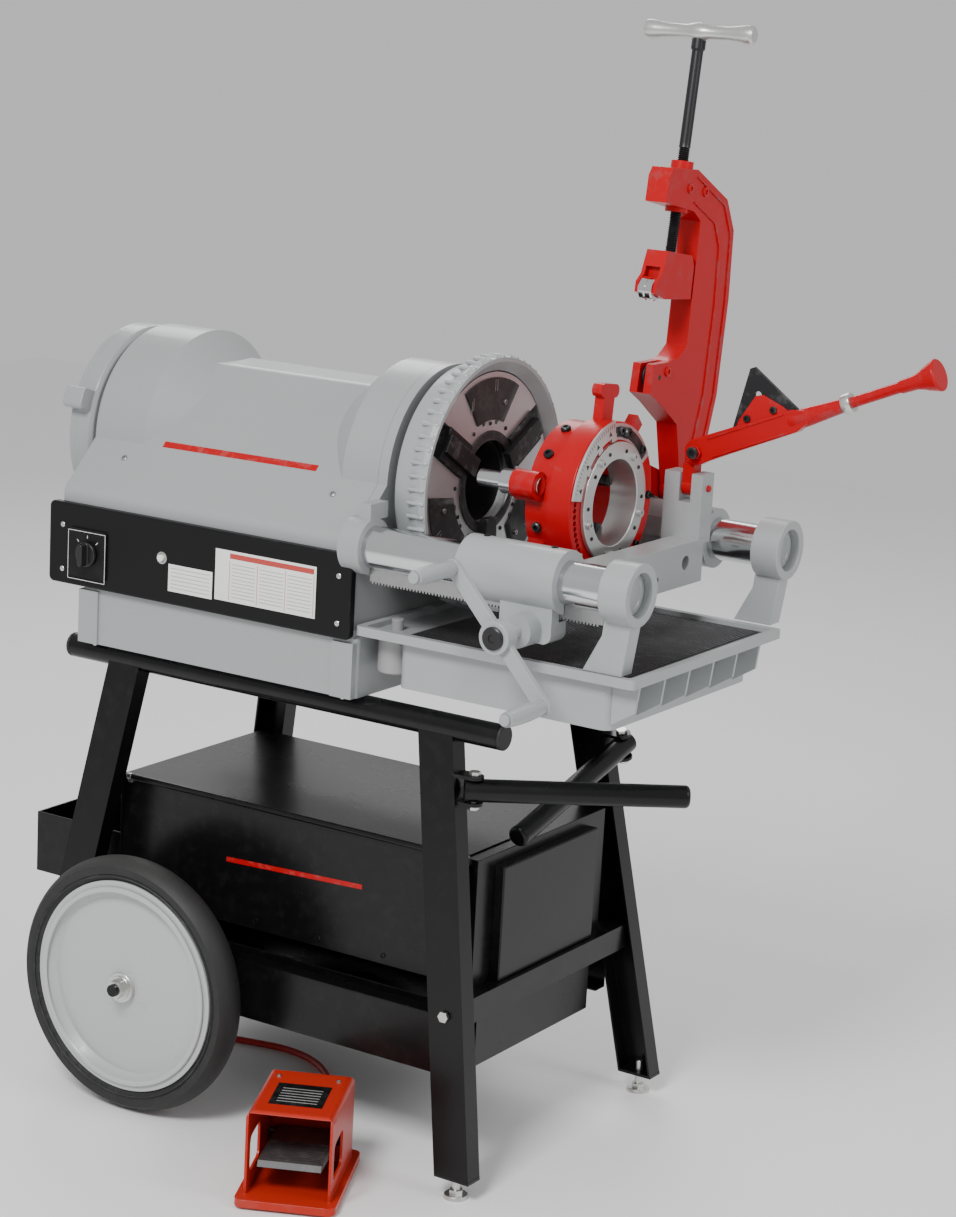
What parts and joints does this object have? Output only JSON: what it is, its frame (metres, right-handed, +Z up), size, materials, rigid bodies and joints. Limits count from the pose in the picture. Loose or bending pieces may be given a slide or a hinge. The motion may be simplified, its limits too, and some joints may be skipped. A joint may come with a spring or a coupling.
{
  "type": "pipe threading machine",
  "caption": "Pipe threading machine with spindle chuck, die head, cutter and reamer on a rail carriage, on a wheeled stand with foot switch.",
  "frame": {"origin": "middle of the footprint on the floor, the cord left out", "axes": "+X along the spindle from the motor end to the carriage, -Y towards the operator, +Z up"},
  "size_m": [1.3626, 0.8696, 1.7021],
  "materials": {
    "black_steel": "gloss black enamel",
    "rubber_black": "moulded rubber",
    "tyre_rubber": "solid rubber tread",
    "grey_disc": "light grey paint",
    "zinc": "zinc plated",
    "machine_grey": "warm light grey paint",
    "light_grey": "light grey paint",
    "band_black": "satin black paint",
    "knob_black": "moulded plastic",
    "button_white": "moulded plastic",
    "gear_steel": "machined, oiled",
    "jaw_dark": "hardened, blackened",
    "bright_steel": "ground bright",
    "screen_dark": "woven wire",
    "pump_dark": "dark grey paint",
    "tool_red": "bright red enamel",
    "throat_steel": "turned steel",
    "guard_orange": "orange-red paint",
    "treadle_dark": "ribbed tread",
    "cord_red": "red rubber jacket"
  },
  "bodies": {
    "machine_frame": {"top_tubes": "black_steel", "tube_caps": "rubber_black", "legs": "black_steel", "stand_beams": "black_steel", "stand_fasteners": "zinc", "cabinet": "black_steel", "tool_bin": "black_steel", "lower_tray": "black_steel", "base_casting": "machine_grey", "housing_cover": "machine_grey", "headstock": "machine_grey", "control_band": "band_black", "motor": "band_black", "spindle_bearings": "gear_steel", "guide_rails": "bright_steel", "rail_end_brackets": "machine_grey", "feed_rack": "gear_steel", "oil_pan": "light_grey", "chip_screen": "screen_dark", "oil_pump": "pump_dark", "foot_switch_housing": "guard_orange", "cord": "cord_red"},
    "lid": {"cabinet_lid": "black_steel"},
    "near_foot": {"near_levelling_foot": "zinc"},
    "far_foot": {"far_levelling_foot": "zinc"},
    "near_wheel": {"near_tyre": "tyre_rubber", "near_wheel_disc": "grey_disc"},
    "far_wheel": {"far_tyre": "tyre_rubber", "far_wheel_disc": "grey_disc"},
    "near_lift_handle": {"near_handle": "black_steel"},
    "far_lift_handle": {"far_handle": "black_steel"},
    "selector": {"selector_knob": "knob_black"},
    "reset": {"reset_button": "button_white"},
    "motor_rotor": {"motor_pinion": "gear_steel"},
    "spindle_body": {"spindle": "gear_steel", "chuck_plate": "gear_steel"},
    "jaw_lower": {"lower_jaw": "jaw_dark"},
    "jaw_far": {"far_jaw": "jaw_dark"},
    "jaw_near": {"near_jaw": "jaw_dark"},
    "chuck_handwheel": {"chuck_wheel": "machine_grey"},
    "rear_centring_ring": {"rear_ring": "machine_grey"},
    "carriage_body": {"carriage": "light_grey", "tool_hinge_pin": "bright_steel"},
    "handwheel": {"feed_handwheel": "light_grey"},
    "grip_lower": {"lower_grip": "light_grey"},
    "grip_upper": {"upper_grip": "light_grey"},
    "die_head": {"die_head_body": "tool_red", "latch_pin": "bright_steel", "dies": "jaw_dark", "throat_ring": "throat_steel"},
    "die_cam": {"cam_ring": "tool_red", "size_plate": "bright_steel"},
    "cutter": {"cutter_frame": "tool_red"},
    "cutter_roller_slide": {"cutter_slide": "tool_red"},
    "cutter_feed_screw": {"cutter_screw": "bright_steel"},
    "cutting_wheel": {"cutter_wheel": "jaw_dark"},
    "reamer_bracket": {"reamer_knuckle": "tool_red"},
    "reamer": {"reamer_arm": "tool_red", "reamer_blade": "jaw_dark"},
    "treadle": {"foot_treadle": "treadle_dark"}
  },
  "joints": [
    {"name": "lid_hinge", "type": "hinge", "parent": "machine_frame", "child": "lid", "pos_m": [-0.17078, -0.11515, 0.489], "axis": [1, 0, 0], "range_deg": [0, 85]},
    {"name": "near_foot_screw", "type": "slide", "parent": "machine_frame", "child": "near_foot", "axis": [0, 0, 1], "range_m": [-0.01, 0.015]},
    {"name": "far_foot_screw", "type": "slide", "parent": "machine_frame", "child": "far_foot", "axis": [0, 0, 1], "range_m": [-0.01, 0.015]},
    {"name": "near_wheel_spin", "type": "hinge", "parent": "machine_frame", "child": "near_wheel", "pos_m": [-0.37428, -0.23715, 0.2032], "axis": [0, 1, 0], "continuous": true},
    {"name": "far_wheel_spin", "type": "hinge", "parent": "machine_frame", "child": "far_wheel", "pos_m": [-0.37428, 0.38685, 0.2032], "axis": [0, 1, 0], "continuous": true},
    {"name": "near_handle_swing", "type": "hinge", "parent": "machine_frame", "child": "near_lift_handle", "pos_m": [0.17009, -0.13865, 0.603], "axis": [0, 0, 1], "range_deg": [-37, 40]},
    {"name": "far_handle_swing", "type": "hinge", "parent": "machine_frame", "child": "far_lift_handle", "pos_m": [0.17313, 0.29015, 0.585], "axis": [0, -0.2588, 0.9659], "range_deg": [0, 90]},
    {"name": "selector_turn", "type": "hinge", "parent": "machine_frame", "child": "selector", "pos_m": [-0.52878, -0.18515, 0.851], "axis": [0, 1, 0], "range_deg": [-45, 45]},
    {"name": "reset_press", "type": "slide", "parent": "machine_frame", "child": "reset", "axis": [0, 1, 0], "range_m": [0, 0.0015]},
    {"name": "rotor_spin", "type": "hinge", "parent": "machine_frame", "child": "motor_rotor", "pos_m": [-0.09328, 0.1736, 0.88094], "axis": [1, 0, 0], "continuous": true},
    {"name": "spindle_spin", "type": "hinge", "parent": "machine_frame", "child": "spindle_body", "pos_m": [-0.29328, 0.07485, 1.012], "axis": [1, 0, 0], "continuous": true},
    {"name": "chuck_wheel_turn", "type": "hinge", "parent": "spindle_body", "child": "chuck_handwheel", "pos_m": [0.00672, 0.07485, 1.012], "axis": [1, 0, 0], "range_deg": [-90, 180]},
    {"name": "lower_jaw_slide", "type": "slide", "parent": "spindle_body", "child": "jaw_lower", "axis": [0, 0, 1], "range_m": [-0.0101, 0.0201]},
    {"name": "far_jaw_slide", "type": "slide", "parent": "spindle_body", "child": "jaw_far", "axis": [0, -0.866, -0.5], "range_m": [-0.0101, 0.0201]},
    {"name": "near_jaw_slide", "type": "slide", "parent": "spindle_body", "child": "jaw_near", "axis": [0, 0.866, -0.5], "range_m": [-0.0101, 0.0201]},
    {"name": "rear_ring_turn", "type": "hinge", "parent": "spindle_body", "child": "rear_centring_ring", "pos_m": [-0.62328, 0.07485, 1.012], "axis": [1, 0, 0], "range_deg": [-90, 90]},
    {"name": "carriage_slide", "type": "slide", "parent": "machine_frame", "child": "carriage_body", "axis": [1, 0, 0], "range_m": [-0.04, 0.055]},
    {"name": "handwheel_turn", "type": "hinge", "parent": "carriage_body", "child": "handwheel", "pos_m": [0.26872, -0.22515, 0.868], "axis": [0, 1, 0], "range_deg": [-177, 129]},
    {"name": "lower_grip_spin", "type": "hinge", "parent": "handwheel", "child": "grip_lower", "pos_m": [0.34724, -0.30515, 0.78261], "axis": [0, 1, 0], "continuous": true},
    {"name": "upper_grip_spin", "type": "hinge", "parent": "handwheel", "child": "grip_upper", "pos_m": [0.1902, -0.30515, 0.95339], "axis": [0, 1, 0], "continuous": true},
    {"name": "die_head_swing", "type": "hinge", "parent": "carriage_body", "child": "die_head", "pos_m": [0.18672, 0.33685, 0.995], "axis": [-1, 0, 0], "range_deg": [0, 8]},
    {"name": "cam_turn", "type": "hinge", "parent": "die_head", "child": "die_cam", "pos_m": [0.22672, 0.07485, 1.012], "axis": [1, 0, 0], "range_deg": [-20, 20]},
    {"name": "cutter_swing", "type": "hinge", "parent": "carriage_body", "child": "cutter", "pos_m": [0.21072, 0.33685, 0.995], "axis": [-1, 0, 0], "range_deg": [-10, 25]},
    {"name": "roller_feed", "type": "slide", "parent": "cutter", "child": "cutter_roller_slide", "axis": [0, 0.1392, 0.9903], "range_m": [-0.06, 0.05]},
    {"name": "feed_screw_turn", "type": "hinge", "parent": "cutter_roller_slide", "child": "cutter_feed_screw", "pos_m": [0.21072, 0.30152, 1.60586], "axis": [0, 0.1392, 0.9903], "range_deg": [-4330, 3610]},
    {"name": "cutting_wheel_spin", "type": "hinge", "parent": "cutter", "child": "cutting_wheel", "pos_m": [0.21072, 0.22753, 1.18001], "axis": [1, 0, 0], "continuous": true},
    {"name": "reamer_swing", "type": "hinge", "parent": "carriage_body", "child": "reamer_bracket", "pos_m": [0.28272, 0.24985, 1.02], "axis": [1, 0, 0], "range_deg": [0, 90]},
    {"name": "reamer_lift", "type": "hinge", "parent": "reamer_bracket", "child": "reamer", "pos_m": [0.29772, 0.24185, 1.076], "axis": [0, -1, 0], "range_deg": [0, 45]},
    {"name": "treadle_press", "type": "hinge", "parent": "machine_frame", "child": "treadle", "pos_m": [-0.02286, -0.24371, 0.052], "axis": [0.9063, 0.4226, 0], "range_deg": [0, 8]}
  ],
  "couplings": [
    {"joint": "rotor_spin", "follows": "spindle_spin", "ratio": -6.4545},
    {"joint": "lower_jaw_slide", "follows": "chuck_wheel_turn", "m_per_rad": 0.0063662},
    {"joint": "far_jaw_slide", "follows": "chuck_wheel_turn", "m_per_rad": 0.0063662},
    {"joint": "near_jaw_slide", "follows": "chuck_wheel_turn", "m_per_rad": 0.0063662},
    {"joint": "handwheel_turn", "follows": "carriage_slide", "rad_per_m": -55.556},
    {"joint": "feed_screw_turn", "follows": "roller_feed", "rad_per_m": 1256.6}
  ]
}
